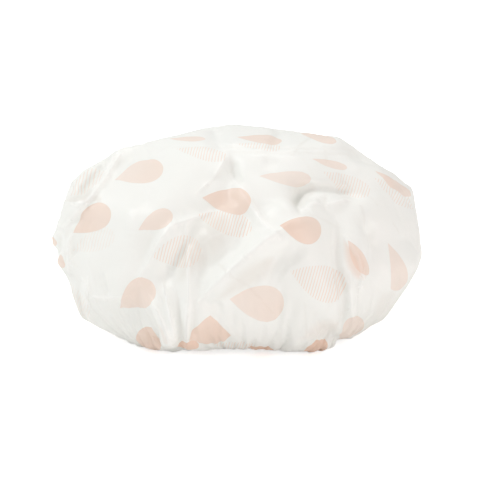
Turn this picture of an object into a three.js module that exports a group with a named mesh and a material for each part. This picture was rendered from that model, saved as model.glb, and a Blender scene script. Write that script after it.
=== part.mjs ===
import * as THREE from 'three';

// A puffed-up shower cap, standing on its gathered hem. Sizes are in millimetres, with +X along the cap's
// width, -Y to its front and +Z up. Azimuths turn from +X towards +Y, and rises go up from the level.

// The crown's outer size, and the level where it is widest
const CAP_WIDTH = 290;
const CAP_DEPTH = 250;
const CAP_HEIGHT = 154;
const WIDEST_LEVEL = 62;

// The opening, across the middle line of the elastic band
const MOUTH_WIDTH = 164;
const MOUTH_DEPTH = 120;

// Film, hem, elastic and thread
const FILM_THICKNESS = 0.15;
const HEM_THICKNESS = 0.3;
const SEAM_MARGIN = 2.4;
const ELASTIC_WIDTH = 6;
const ELASTIC_THICKNESS = 0.8;
const ELASTIC_LAP = 14;
const THREAD_DIAMETER = 0.4;
const CLEARANCE = 0.3;

// How far the film droops round the outside of the hem, and how high the roll of the droop stands
const DROOP_REACH = 10;
const DROOP_HEIGHT = 9;

// Gathers of the hem, and the height and width of the crown's main folds
const GATHER_COUNT = 24;
const GATHER_DEPTH = 3.2;
const FOLD_HEIGHT = 8;
const FOLD_WIDTH = 15;

// Mesh steps: around the crown, around the hem for each gather, and down the crown
const CROWN_STEPS = 2 * GATHER_COUNT;
const HEM_STEPS = 4 * GATHER_COUNT;
const CROWN_RINGS = 11;
const THREAD_SIDES = 5;

// Flat places of the crumpled film, as a facet's azimuth and rise in degrees, and how far out it lies as a
// share of the plain crown there
const FACET_SHARES = [
  [0, 90, 0.965],
  [63, 73, 0.95],
  [131, 70, 0.925],
  [159, 53, 0.945],
  [175, 17, 1.02],
  [-178, -2, 0.97],
  [-175, -20, 0.965],
  [-160, -48, 1.03],
  [-30, -52, 0.985],
  [-9, -32, 0.955],
  [-4, -8, 0.975],
  [2, 7, 0.96],
  [20, 51, 0.945],
  [-172, 36, 0.94],
  [-130, 24, 0.925],
  [-96, 8, 0.945],
  [-52, 22, 0.925],
  [-20, 30, 0.935],
  [-90, 50, 0.92],
  [-136, 56, 0.93],
  [-44, 56, 0.935],
  [-130, -20, 0.97],
  [-88, -26, 0.975],
  [-48, -24, 0.94],
  [90, 18, 0.945],
  [134, 26, 0.93],
  [48, 22, 0.935],
  [92, 54, 0.95],
  [112, -24, 0.96],
  [62, -24, 0.975],
  [148, -18, 0.95],
  [28, -20, 0.95],
];

// Sharpness of the edges between facets, and how far the plain crown stands out of them at a corner
const FACET_SHARPNESS = 48;
const CORNER_SHARE = 1.06;

// Main folds: a ridge stands out and a dent is drawn in, by a share of the fold height. Each runs through
// places given by azimuth and rise in degrees.
const FOLD_SHARES = [
  { height: 0.8, width: 0.7, places: [[-176, 44], [-164, 30], [-162, 17], [-170, 4]] },
  { height: 0.6, width: 0.9, places: [[162, 15], [180, 20]] },
  { height: 0.5, width: 1.3, places: [[-139, 27], [-130, 10]] },
  { height: 0.5, width: 0.8, places: [[-104, 30], [-117, 23], [-124, 10], [-127, 2]] },
  { height: -1.1, width: 1, places: [[-103, 21], [-110, 14], [-115, 5], [-119, -6]] },
  { height: 1.2, width: 1, places: [[-72, 22], [-88, 11], [-95, 4], [-105, -14]] },
  { height: -0.6, width: 0.8, places: [[-98, 60], [-91, 41]] },
  { height: 0.5, width: 0.8, places: [[-94, 46], [-86, 36], [-81, 29]] },
  { height: -0.6, width: 1, places: [[-89, 30], [-88, 24], [-96, 17]] },
  { height: -0.6, width: 1, places: [[-80, 8], [-70, 12], [-65, 8]] },
  { height: -0.6, width: 0.9, places: [[-64, 26], [-62, 33], [-52, 36], [-36, 29]] },
  { height: -0.6, width: 0.8, places: [[-51, 18], [-54, 10], [-52, -4], [-51, -22]] },
  { height: 0.8, width: 0.7, places: [[-47, 14], [-43, 1], [-39, -20]] },
  { height: 0.6, width: 0.7, places: [[-156, 10], [-150, -24]] },
  { height: 0.7, width: 0.7, places: [[-126, -6], [-121, -15], [-116, -28]] },
  { height: -0.6, width: 0.8, places: [[-76, -6], [-74, -26]] },
  { height: 0.5, width: 0.8, places: [[-33, 8], [-27, -16]] },
  { height: -0.6, width: 0.8, places: [[11, 42], [1, 32]] },
  { height: -0.8, width: 0.9, places: [[20, 34], [34, 8], [30, -16]] },
  { height: 0.8, width: 0.8, places: [[62, 48], [66, 14], [58, -14]] },
  { height: -0.8, width: 0.8, places: [[84, 40], [88, 8], [84, -20]] },
  { height: 0.9, width: 0.8, places: [[110, 50], [106, 20], [112, -14]] },
  { height: -0.7, width: 0.8, places: [[134, 34], [130, 4], [136, -20]] },
  { height: 0.7, width: 0.8, places: [[158, 28], [152, -2], [158, -22]] },
];

// The plain crown is an egg about the cap's middle, lower below its widest level than above it. A squareness
// of 2 would make it elliptical. Below, it would close this much further down than the ground.
const SQUARENESS = 2.3;
const FALL_SHARE = 1.1;

// Where the hem's gathers start to show on the crown, as a share of the way down it
const GATHER_START_SHARE = 0.5;
// Where the crown starts to close in on its droop round the hem, as a share of the way down it
const CLOSING_START_SHARE = 0.82;
// Where the film spreads further over the ground: each lobe's azimuth and width in degrees, and how much
// further it reaches, as a share of the droop
const LOBE_SHARES = [[-136, 22, 1.7], [-54, 20, 1.6], [44, 24, 0.9], [128, 26, 1.1]];
// Where the droop's underside lies lowest, as a share of its reach beyond the hem's wall
const ROLL_SHARE = 0.7;

// Sizes worked out from the ones above
const HALF_WIDTH = CAP_WIDTH / 2;
const HALF_DEPTH = CAP_DEPTH / 2;
const RISE_ABOVE = CAP_HEIGHT - WIDEST_LEVEL;
const FALL_BELOW = WIDEST_LEVEL * FALL_SHARE;
const HEM_CHANNEL = ELASTIC_WIDTH + 2 * CLEARANCE;
const HEM_HEIGHT = HEM_THICKNESS + HEM_CHANNEL + SEAM_MARGIN;
const ELASTIC_SPREAD = ELASTIC_THICKNESS + CLEARANCE;
const CHANNEL_HALF = ELASTIC_SPREAD / 2 + ELASTIC_THICKNESS / 2 + CLEARANCE;
const SEAM_LEVEL = HEM_HEIGHT - SEAM_MARGIN / 2;
const CROWN_EDGE_LEVEL = HEM_HEIGHT + CLEARANCE;

const degrees = THREE.MathUtils.degToRad;

function direction(azimuth, rise) {
  const level = Math.cos(rise);
  return new THREE.Vector3(level * Math.cos(azimuth), level * Math.sin(azimuth), Math.sin(rise));
}

function powerSum(values, power) {
  return values.reduce((sum, value) => sum + Math.abs(value) ** power, 0) ** (1 / power);
}

// How far out the plain crown lies in a direction
function plainReach(d) {
  const half = d.z > 0 ? RISE_ABOVE : FALL_BELOW;
  return 1 / powerSum([d.x / HALF_WIDTH, d.y / HALF_DEPTH, d.z / half], SQUARENESS);
}

// How far out a plane that only touches the plain crown lies, for the plane's normal
function plainSupport(n) {
  const half = n.z > 0 ? RISE_ABOVE : FALL_BELOW;
  const power = SQUARENESS / (SQUARENESS - 1);
  return powerSum([n.x * HALF_WIDTH, n.y * HALF_DEPTH, n.z * half], power);
}

const facets = FACET_SHARES.map(([azimuth, rise, share]) => {
  const normal = direction(degrees(azimuth), degrees(rise));
  return { normal, distance: share * plainSupport(normal) };
});

function facetedReach(d) {
  let sum = (1 / (CORNER_SHARE * plainReach(d))) ** FACET_SHARPNESS;
  for (const { normal, distance } of facets) {
    const facing = d.dot(normal);
    if (facing > 0) {
      sum += (facing / distance) ** FACET_SHARPNESS;
    }
  }
  return sum ** (-1 / FACET_SHARPNESS);
}

const folds = FOLD_SHARES.map(({ height, width, places }) => {
  const points = places.map(([azimuth, rise]) => {
    const d = direction(degrees(azimuth), degrees(rise));
    return d.multiplyScalar(plainReach(d));
  });
  return { height: height * FOLD_HEIGHT, width: width * FOLD_WIDTH, points };
});

function distanceToPath(point, path) {
  const nearest = new THREE.Vector3();
  let least = Infinity;
  for (let i = 1; i < path.length; i += 1) {
    new THREE.Line3(path[i - 1], path[i]).closestPointToPoint(point, true, nearest);
    least = Math.min(least, nearest.distanceTo(point));
  }
  return least;
}

function foldOffset(point) {
  let offset = 0;
  for (const { height, width, points } of folds) {
    offset += height * Math.exp(-((distanceToPath(point, points) / width) ** 2));
  }
  return offset;
}

// The hem follows an oval, and its gathers bulge away from the elastic on both sides.
function mouthPoint(azimuth, offset, level) {
  const x = (MOUTH_WIDTH / 2) * Math.cos(azimuth);
  const y = (MOUTH_DEPTH / 2) * Math.sin(azimuth);
  const out = new THREE.Vector2(x / MOUTH_WIDTH ** 2, y / MOUTH_DEPTH ** 2).normalize();
  return new THREE.Vector3(x + out.x * offset, y + out.y * offset, level);
}

function gatherBulge(azimuth) {
  return (GATHER_DEPTH * (1 + Math.cos(GATHER_COUNT * azimuth))) / 2;
}

const hemOuterOffset = (azimuth) => CHANNEL_HALF + HEM_THICKNESS + gatherBulge(azimuth);

function droopReach(azimuth) {
  let share = 1;
  for (const [middle, width, extra] of LOBE_SHARES) {
    const turned = azimuth - degrees(middle);
    const away = Math.atan2(Math.sin(turned), Math.cos(turned));
    share += extra * Math.exp(-((away / degrees(width)) ** 2));
  }
  return share * DROOP_REACH;
}

// A point of the crown's outer side, from the top at share 0 down to its droop round the hem at share 1
function crownPoint(azimuth, share) {
  const reachOut = hemOuterOffset(azimuth) + droopReach(azimuth);
  const edge = mouthPoint(azimuth, reachOut, CLEARANCE + DROOP_HEIGHT / 2);
  const edgeRise = Math.atan2(edge.z - WIDEST_LEVEL, Math.hypot(edge.x, edge.y));
  const rise = THREE.MathUtils.lerp(Math.PI / 2, edgeRise, share);
  const bearing = Math.atan2(edge.y, edge.x);
  const d = direction(bearing, rise);
  const plain = d.clone().multiplyScalar(plainReach(d));
  const showing = THREE.MathUtils.smoothstep(share, GATHER_START_SHARE, 1);
  const gather = (gatherBulge(azimuth) - GATHER_DEPTH / 2) * showing;
  const reach = facetedReach(d) + foldOffset(plain) + gather;
  const point = d.multiplyScalar(reach);
  point.z += WIDEST_LEVEL;
  return point.lerp(edge, THREE.MathUtils.smoothstep(share, CLOSING_START_SHARE, 1));
}

function pointsGeometry(points, indices) {
  const geometry = new THREE.BufferGeometry().setFromPoints(points);
  geometry.setIndex(indices);
  geometry.computeVertexNormals();
  return geometry;
}

// The film's rings from the top down: the crown, the roll of its droop and its seam at the hem's upper edge
function filmRings() {
  const azimuths = Array.from({ length: CROWN_STEPS }, (_, step) => (2 * Math.PI * step) / CROWN_STEPS);
  const rings = [];
  for (let ring = 1; ring <= CROWN_RINGS; ring += 1) {
    rings.push(azimuths.map((azimuth) => crownPoint(azimuth, ring / CROWN_RINGS)));
  }
  rings.push(azimuths.map((azimuth) => {
    const offset = hemOuterOffset(azimuth) + ROLL_SHARE * droopReach(azimuth);
    return mouthPoint(azimuth, offset, CLEARANCE);
  }));
  rings.push(azimuths.map((azimuth) => mouthPoint(azimuth, hemOuterOffset(azimuth), CROWN_EDGE_LEVEL)));
  return rings;
}

// A cell of the crown is two triangles, parted along the diagonal that lies nearer to the film's own middle.
function splitCell([a, b, c, d], points, ring, step) {
  const middle = crownPoint((2 * Math.PI * (step + 1 / 2)) / CROWN_STEPS, (ring + 1 / 2) / CROWN_RINGS);
  const gap = (i, j) => points[i].clone().lerp(points[j], 1 / 2).distanceTo(middle);
  if (ring < CROWN_RINGS && gap(b, d) < gap(a, c)) {
    return [[a, b, d], [b, c, d]];
  }
  return [[a, b, c], [a, c, d]];
}

// The crown's film is a thin shell: its outer side, its inner side and the cut edge at the hem.
function crownGeometry() {
  const rings = filmRings();
  const outer = [crownPoint(0, 0), ...rings.flat()];
  const at = (ring, step) => (ring === 0 ? 0 : 1 + (ring - 1) * CROWN_STEPS + (step % CROWN_STEPS));
  const side = [];
  for (let step = 0; step < CROWN_STEPS; step += 1) {
    side.push([0, at(1, step), at(1, step + 1)]);
    for (let ring = 1; ring < rings.length; ring += 1) {
      const cell = [at(ring, step), at(ring + 1, step), at(ring + 1, step + 1), at(ring, step + 1)];
      side.push(...splitCell(cell, outer, ring, step));
    }
  }
  const normals = pointsGeometry(outer, side.flat()).getAttribute('normal');
  const inner = outer.map((point, i) => {
    const normal = new THREE.Vector3().fromBufferAttribute(normals, i);
    return point.clone().addScaledVector(normal, -FILM_THICKNESS);
  });
  const count = outer.length;
  const indices = side.flat();
  for (const [a, b, c] of side) {
    indices.push(a + count, c + count, b + count);
  }
  for (let step = 0; step < CROWN_STEPS; step += 1) {
    const a = at(rings.length, step);
    const b = at(rings.length, step + 1);
    indices.push(a, a + count, b, b, a + count, b + count);
  }
  return pointsGeometry([...outer, ...inner], indices);
}

// A solid swept through sections of equal length, each listed the same way round
function sweptGeometry(sections, closed) {
  const size = sections[0].length;
  const last = closed ? sections.length : sections.length - 1;
  const indices = [];
  for (let i = 0; i < last; i += 1) {
    const here = i * size;
    const next = ((i + 1) % sections.length) * size;
    for (let j = 0; j < size; j += 1) {
      const k = (j + 1) % size;
      indices.push(here + j, next + j, next + k, here + j, next + k, here + k);
    }
  }
  if (!closed) {
    const end = last * size;
    for (let j = 1; j < size - 1; j += 1) {
      indices.push(0, j, j + 1, end, end + j + 1, end + j);
    }
  }
  return pointsGeometry(sections.flat(), indices);
}

// The turned hem is a channel round the elastic, pressed flat where the cap stands on it. Its outer and inner
// walls are the film turned twice.
function hemGeometry() {
  const sections = [];
  for (let step = 0; step < HEM_STEPS; step += 1) {
    const azimuth = (2 * Math.PI * step) / HEM_STEPS;
    const near = CHANNEL_HALF + gatherBulge(azimuth);
    const far = hemOuterOffset(azimuth);
    sections.push([
      mouthPoint(azimuth, far, 0),
      mouthPoint(azimuth, far, HEM_HEIGHT),
      mouthPoint(azimuth, near, HEM_HEIGHT),
      mouthPoint(azimuth, near, HEM_THICKNESS),
      mouthPoint(azimuth, -near, HEM_THICKNESS),
      mouthPoint(azimuth, -near, HEM_HEIGHT),
      mouthPoint(azimuth, -far, HEM_HEIGHT),
      mouthPoint(azimuth, -far, 0),
    ]);
  }
  return sweptGeometry(sections, true);
}

// The elastic is one flat strip that goes once round the channel, its ends lapped with a clearance.
function elasticGeometry() {
  const girth = (Math.PI * (MOUTH_WIDTH + MOUTH_DEPTH)) / 2;
  const turn = 2 * Math.PI * (1 + ELASTIC_LAP / girth);
  const low = HEM_THICKNESS + CLEARANCE;
  const high = low + ELASTIC_WIDTH;
  const sections = [];
  for (let step = 0; step <= HEM_STEPS; step += 1) {
    const share = step / HEM_STEPS;
    const azimuth = turn * share;
    const middle = THREE.MathUtils.lerp(-ELASTIC_SPREAD / 2, ELASTIC_SPREAD / 2, share);
    const near = middle - ELASTIC_THICKNESS / 2;
    const far = middle + ELASTIC_THICKNESS / 2;
    sections.push([
      mouthPoint(azimuth, far, low),
      mouthPoint(azimuth, far, high),
      mouthPoint(azimuth, near, high),
      mouthPoint(azimuth, near, low),
    ]);
  }
  return sweptGeometry(sections, false);
}

// A seam thread runs once round the hem on one side of it: side 1 is outside and side -1 is inside.
function threadGeometry(side) {
  const radius = THREAD_DIAMETER / 2;
  const sections = [];
  for (let step = 0; step < HEM_STEPS; step += 1) {
    const azimuth = (2 * Math.PI * step) / HEM_STEPS;
    const offset = side * (hemOuterOffset(azimuth) + CLEARANCE + radius);
    const section = [];
    for (let corner = 0; corner < THREAD_SIDES; corner += 1) {
      const angle = (2 * Math.PI * corner) / THREAD_SIDES;
      const out = offset + radius * Math.cos(angle);
      section.push(mouthPoint(azimuth, out, SEAM_LEVEL + radius * Math.sin(angle)));
    }
    sections.push(section);
  }
  return sweptGeometry(sections, true);
}

function material(color, roughness) {
  return new THREE.MeshStandardMaterial({ color, roughness, metalness: 0 });
}

function piece(name, geometry, surface) {
  const mesh = new THREE.Mesh(geometry, surface);
  mesh.name = name;
  return mesh;
}

const frostedFilm = () => material(0xf1f0ea, 0.42);
const whiteElastic = () => material(0xf4f3ef, 0.85);
const whiteThread = () => material(0xf6f5f1, 0.7);

const cap = new THREE.Group();
cap.add(
  piece('film_crown', crownGeometry(), frostedFilm()),
  piece('film_hem', hemGeometry(), frostedFilm()),
  piece('elastic_band', elasticGeometry(), whiteElastic()),
  piece('needle_thread', threadGeometry(1), whiteThread()),
  piece('bobbin_thread', threadGeometry(-1), whiteThread()),
);

// The folds pull the outline a little to one side, so the cap is set back over the middle of its own outline.
const outline = new THREE.Box3().setFromObject(cap);
const middle = outline.getCenter(new THREE.Vector3());
cap.position.set(-middle.x, -middle.y, -outline.min.z);

export default cap;
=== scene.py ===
"""A puffed shower cap of frosted film, printed with pale pink drops, standing on its gathered hem."""
from math import cos, pi, radians, sin, sqrt

import bpy
import numpy as np
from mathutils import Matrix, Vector
from mathutils.bvhtree import BVHTree


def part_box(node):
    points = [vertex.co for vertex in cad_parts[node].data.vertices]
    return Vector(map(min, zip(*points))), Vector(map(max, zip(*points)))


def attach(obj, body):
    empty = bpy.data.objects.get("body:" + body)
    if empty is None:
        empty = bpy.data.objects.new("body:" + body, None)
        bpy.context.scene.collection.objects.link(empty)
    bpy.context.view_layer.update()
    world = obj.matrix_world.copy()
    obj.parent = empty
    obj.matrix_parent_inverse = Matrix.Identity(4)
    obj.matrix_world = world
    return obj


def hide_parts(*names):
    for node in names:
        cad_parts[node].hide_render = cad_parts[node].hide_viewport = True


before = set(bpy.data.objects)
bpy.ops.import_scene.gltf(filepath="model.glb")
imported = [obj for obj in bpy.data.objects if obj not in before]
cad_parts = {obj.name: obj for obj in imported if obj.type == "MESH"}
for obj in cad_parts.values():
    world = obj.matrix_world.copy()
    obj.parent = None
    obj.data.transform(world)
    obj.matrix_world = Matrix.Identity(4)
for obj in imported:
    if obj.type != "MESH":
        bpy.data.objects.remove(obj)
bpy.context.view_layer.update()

# sizes, in metres
MM = 0.001
CAP_WIDTH, CAP_DEPTH, CAP_HEIGHT, WIDEST_LEVEL = 290 * MM, 250 * MM, 154 * MM, 62 * MM
MOUTH_WIDTH, MOUTH_DEPTH = 164 * MM, 120 * MM
CLEARANCE = 0.3 * MM
DROOP_REACH, DROOP_HEIGHT = 10 * MM, 9 * MM
HEM_HEIGHT, HEM_OUT = 9.3 * MM, 1.55 * MM
GATHER_DEPTH = 3.2 * MM
PLEAT_DEPTH, INNER_PLEAT_DEPTH = 9.0 * MM, 6.5 * MM
# the pleats are shallower in front, where the droop also rises off the ground: its azimuth, spread and height
FRONT_PLEAT_LOSS_SHARE = 0.3
LIFT_AZIMUTH, LIFT_SPREAD, LIFT_HEIGHT = radians(-91), radians(19), 3.5 * MM
STITCH_LEVEL, SEAM_MARGIN = 8.1 * MM, 2.4 * MM
THREAD_WIDTH, STITCH_LENGTH = 0.4 * MM, 2.5 * MM
FACET_SHARPNESS, CORNER_SHARE, SQUARENESS, FALL_SHARE = 48, 1.06, 2.3, 1.1
CLOSING_START_SHARE, ROLL_SHARE, ROLL_TURN_SHARE = 0.82, 0.7, 0.35

# each flat of the crumpled film: its azimuth and rise in degrees, and its distance as a share
FACET_SHARES = [
    [0, 90, 0.965], [63, 73, 0.95], [131, 70, 0.925], [159, 53, 0.945], [175, 17, 0.99], [-178, -2, 0.985],
    [-175, -20, 0.965], [-160, -48, 1.03], [-30, -52, 0.985], [-9, -32, 0.955], [-4, -8, 0.975], [2, 7, 0.96],
    [20, 51, 0.945], [-172, 36, 0.955], [-130, 24, 0.925], [-96, 8, 0.945], [-52, 22, 0.925], [-20, 30, 0.925],
    [-90, 50, 0.92], [-136, 56, 0.93], [-44, 56, 0.935], [-130, -20, 0.95], [-88, -26, 0.965], [-48, -24, 0.94],
    [90, 18, 0.945], [134, 26, 0.93], [48, 22, 0.935], [92, 54, 0.93], [112, -24, 0.96], [62, -24, 0.95],
    [148, -18, 0.95], [28, -20, 0.95],
]
FOLD_HEIGHT, FOLD_WIDTH = 8 * MM, 15 * MM
# each broad fold: its height and width as shares, and the places that it runs through, in degrees
FOLD_SHARES = [
    [0.75, 0.7, [[-176, 44], [-168, 30], [-161, 18], [-168, 4]]],
    [-0.8, 0.8, [[-103, 27], [-120, 15], [-123, 5], [-127, -8]]],
    [0.9, 0.9, [[-71, 22], [-91, 8], [-105, -6]]],
    [-0.6, 0.8, [[-98, 56], [-96, 34]]],
    [0.35, 0.7, [[-87, 40], [-72, 22]]],
    [-0.7, 0.8, [[-62, 34], [-54, 24], [-40, 29]]],
    [0.8, 0.7, [[-49, 14], [-48, -24]]],
    [-0.7, 0.6, [[-41, 14], [-40, -24]]],
    [0.6, 0.7, [[-156, 10], [-150, -24]]],
    [-0.6, 0.7, [[-138, -2], [-118, -26]]],
    [0.7, 0.7, [[-112, -8], [-108, -28]]],
    [-0.6, 0.8, [[-76, -4], [-74, -26]]],
    [0.6, 0.8, [[-20, 36], [-12, 4]]],
    [-0.8, 0.9, [[20, 34], [34, 8], [30, -16]]],
    [0.8, 0.8, [[62, 48], [66, 14], [58, -14]]],
    [-0.8, 0.8, [[84, 40], [88, 8], [84, -20]]],
    [0.9, 0.8, [[110, 50], [106, 20], [112, -14]]],
    [-0.7, 0.8, [[134, 34], [130, 4], [136, -20]]],
    [0.7, 0.8, [[158, 28], [152, -2], [158, -22]]],
]
LOBE_SHARES = [[-136, 22, 1.7], [-54, 20, 1.6], [44, 24, 0.9], [128, 26, 1.1]]

hem_low, hem_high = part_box("film_hem")
CENTRE = np.array([(hem_low[0] + hem_high[0]) / 2, (hem_low[1] + hem_high[1]) / 2, 0.0])

# camera
PHOTO_SIDE = 480
LENS, SENSOR = 120, 36
CAMERA_RISE = radians(15)
CAMERA_AWAY = 1.240
PICTURE_UP = np.array([0, sin(CAMERA_RISE), cos(CAMERA_RISE)])
CAMERA_BACK = Vector((0, -cos(CAMERA_RISE), sin(CAMERA_RISE)))
CAMERA_AIM = Vector((0.8 * MM, 0, 62 * MM)) + 5.2 * MM * Vector(PICTURE_UP)
CAMERA_PLACE = CAMERA_AIM + CAMERA_AWAY * CAMERA_BACK
EYE, AHEAD = np.array(CAMERA_PLACE), -np.array(CAMERA_BACK)
PICTURE_MIDDLE, PIXELS_ACROSS = PHOTO_SIDE / 2, LENS / SENSOR * PHOTO_SIDE


def make_camera():
    data = bpy.data.cameras.new("camera")
    data.lens, data.sensor_width = LENS, SENSOR
    data.clip_start, data.clip_end = 0.05, 50
    camera = bpy.data.objects.new("camera", data)
    stand(camera, CAMERA_PLACE, -CAMERA_BACK)
    bpy.context.scene.camera = camera


def to_pixels(points):
    """Where points of the shared frame lie in the picture, in pixels from its upper left."""
    away = points - EYE
    depth = away @ AHEAD
    across, down = away[..., 0] / depth * PIXELS_ACROSS, away @ PICTURE_UP / depth * PIXELS_ACROSS
    return np.stack([PICTURE_MIDDLE + across, PICTURE_MIDDLE - down], -1)


def pixel_ray(x, y):
    across, rise = (x - PICTURE_MIDDLE) / PIXELS_ACROSS, (PICTURE_MIDDLE - y) / PIXELS_ACROSS
    return (-CAMERA_BACK + Vector((1, 0, 0)) * across + Vector(PICTURE_UP) * rise).normalized()


def norms(runs):
    return np.sqrt((runs**2).sum(-1))


# the form that the film is drawn over
def direction(azimuth, rise):
    return np.stack([np.cos(rise) * np.cos(azimuth), np.cos(rise) * np.sin(azimuth), np.sin(rise)], -1)


def power_sum(values, power):
    return (np.abs(values) ** power).sum(-1) ** (1 / power)


def halves(ways):
    high = np.where(ways[..., 2] > 0, CAP_HEIGHT - WIDEST_LEVEL, WIDEST_LEVEL * FALL_SHARE)
    return np.stack([np.full_like(high, CAP_WIDTH / 2), np.full_like(high, CAP_DEPTH / 2), high], -1)


def plain_reach(ways):
    return 1 / power_sum(ways / halves(ways), SQUARENESS)


def plain_support(normal):
    return power_sum(normal * halves(normal), SQUARENESS / (SQUARENESS - 1))


def faceted_reach(ways):
    total = (1 / (CORNER_SHARE * plain_reach(ways))) ** FACET_SHARPNESS
    for azimuth, rise, share in FACET_SHARES:
        normal = direction(radians(azimuth), radians(rise))
        facing = np.maximum(ways @ normal, 1e-9)
        total = total + (facing / (share * plain_support(normal))) ** FACET_SHARPNESS
    return total ** (-1 / FACET_SHARPNESS)


def fold_offset(points):
    total = np.zeros(points.shape[:-1])
    for height, width, places in FOLD_SHARES:
        ways = [direction(radians(a), radians(r)) for a, r in places]
        path = [way * plain_reach(way) for way in ways]
        away = np.full(points.shape[:-1], 9.0)
        for start, end in zip(path, path[1:]):
            run = end - start
            share = np.clip(((points - start) @ run) / (run @ run), 0, 1)
            near = start + share[..., None] * run
            away = np.minimum(away, norms(points - near))
        total += FOLD_HEIGHT * height * np.exp(-((away / (FOLD_WIDTH * width)) ** 2))
    return total


def mouth_point(azimuth, offset, level):
    x, y = MOUTH_WIDTH / 2 * np.cos(azimuth), MOUTH_DEPTH / 2 * np.sin(azimuth)
    along, over = x / MOUTH_WIDTH**2, y / MOUTH_DEPTH**2
    size = np.hypot(along, over)
    return np.stack([x + along / size * offset, y + over / size * offset, np.broadcast_to(level, x.shape)], -1)


def mouth_way(azimuth):
    """The level way out of the mouth's oval."""
    return mouth_point(azimuth, 1.0, 0) - mouth_point(azimuth, 0.0, 0)


def droop_reach(azimuth):
    share = np.ones_like(azimuth)
    for middle, width, extra in LOBE_SHARES:
        away = azimuth - radians(middle)
        away = np.arctan2(np.sin(away), np.cos(away))
        share += extra * np.exp(-((away / radians(width)) ** 2))
    return share * DROOP_REACH


def smooth_step(value, start, end):
    share = np.clip((value - start) / (end - start), 0, 1)
    return share * share * (3 - 2 * share)


def form_point(azimuth, share):
    """A point of the puffed form: share 0 to 1 runs down the crown, and 1 to 2 under it, back to the hem's seam."""
    offset = HEM_OUT + GATHER_DEPTH / 2
    lift = LIFT_HEIGHT * np.exp(-(((azimuth - LIFT_AZIMUTH) / LIFT_SPREAD) ** 2))
    edge = mouth_point(azimuth, offset + droop_reach(azimuth), CLEARANCE + DROOP_HEIGHT / 2 + 0.5 * lift)
    edge_rise = np.arctan2(edge[..., 2] - WIDEST_LEVEL, np.hypot(edge[..., 0], edge[..., 1]))
    down = np.minimum(share, 1)
    rise = pi / 2 + (edge_rise - pi / 2) * down
    ways = direction(np.arctan2(edge[..., 1], edge[..., 0]), rise)
    plain = ways * plain_reach(ways)[..., None]
    crown = ways * (faceted_reach(ways) + fold_offset(plain))[..., None] + np.array([0, 0, WIDEST_LEVEL])
    closing = smooth_step(down, CLOSING_START_SHARE, 1)[..., None]
    crown = crown * (1 - closing) + edge * closing
    under = np.clip(share - 1, 0, 1)
    low = mouth_point(azimuth, offset + ROLL_SHARE * droop_reach(azimuth), CLEARANCE + lift)
    seam = mouth_point(azimuth, HEM_OUT + PLEAT_DEPTH / 2, HEM_HEIGHT + CLEARANCE)
    first = np.clip(under / ROLL_TURN_SHARE, 0, 1)[..., None]
    last = np.clip((under - ROLL_TURN_SHARE) / (1 - ROLL_TURN_SHARE), 0, 1)[..., None]
    roll = (edge * (1 - first) + low * first) * (1 - last) + seam * last
    return np.where((share > 1)[..., None], roll, crown)


# the cap's photographed outline in pixels, clockwise from its top
OUTLINE = [
    (232, 124), (264, 127), (300, 132), (340, 137), (348, 143), (372, 160), (396, 175), (413, 190), (417, 214),
    (420, 232), (422, 256), (418, 268), (408, 286), (391, 310), (384, 319), (372, 325), (361, 333), (352, 338),
    (338, 338), (329, 348), (314, 354), (288, 354), (264, 351), (240, 351), (216, 349), (192, 352), (168, 352),
    (150, 351), (132, 344), (96, 326), (80, 316), (73, 298), (70, 286), (65, 274), (57, 262), (59, 253), (52, 240),
    (56, 229), (60, 214), (66, 196), (70, 184), (83, 171), (102, 160), (123, 148), (147, 142), (180, 134), (204, 128),
]
OUTLINE_MIDDLE = (238, 240)
RIM_BINS, SIDE_STEPS, RIM_START = 180, 40, 0.55
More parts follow.
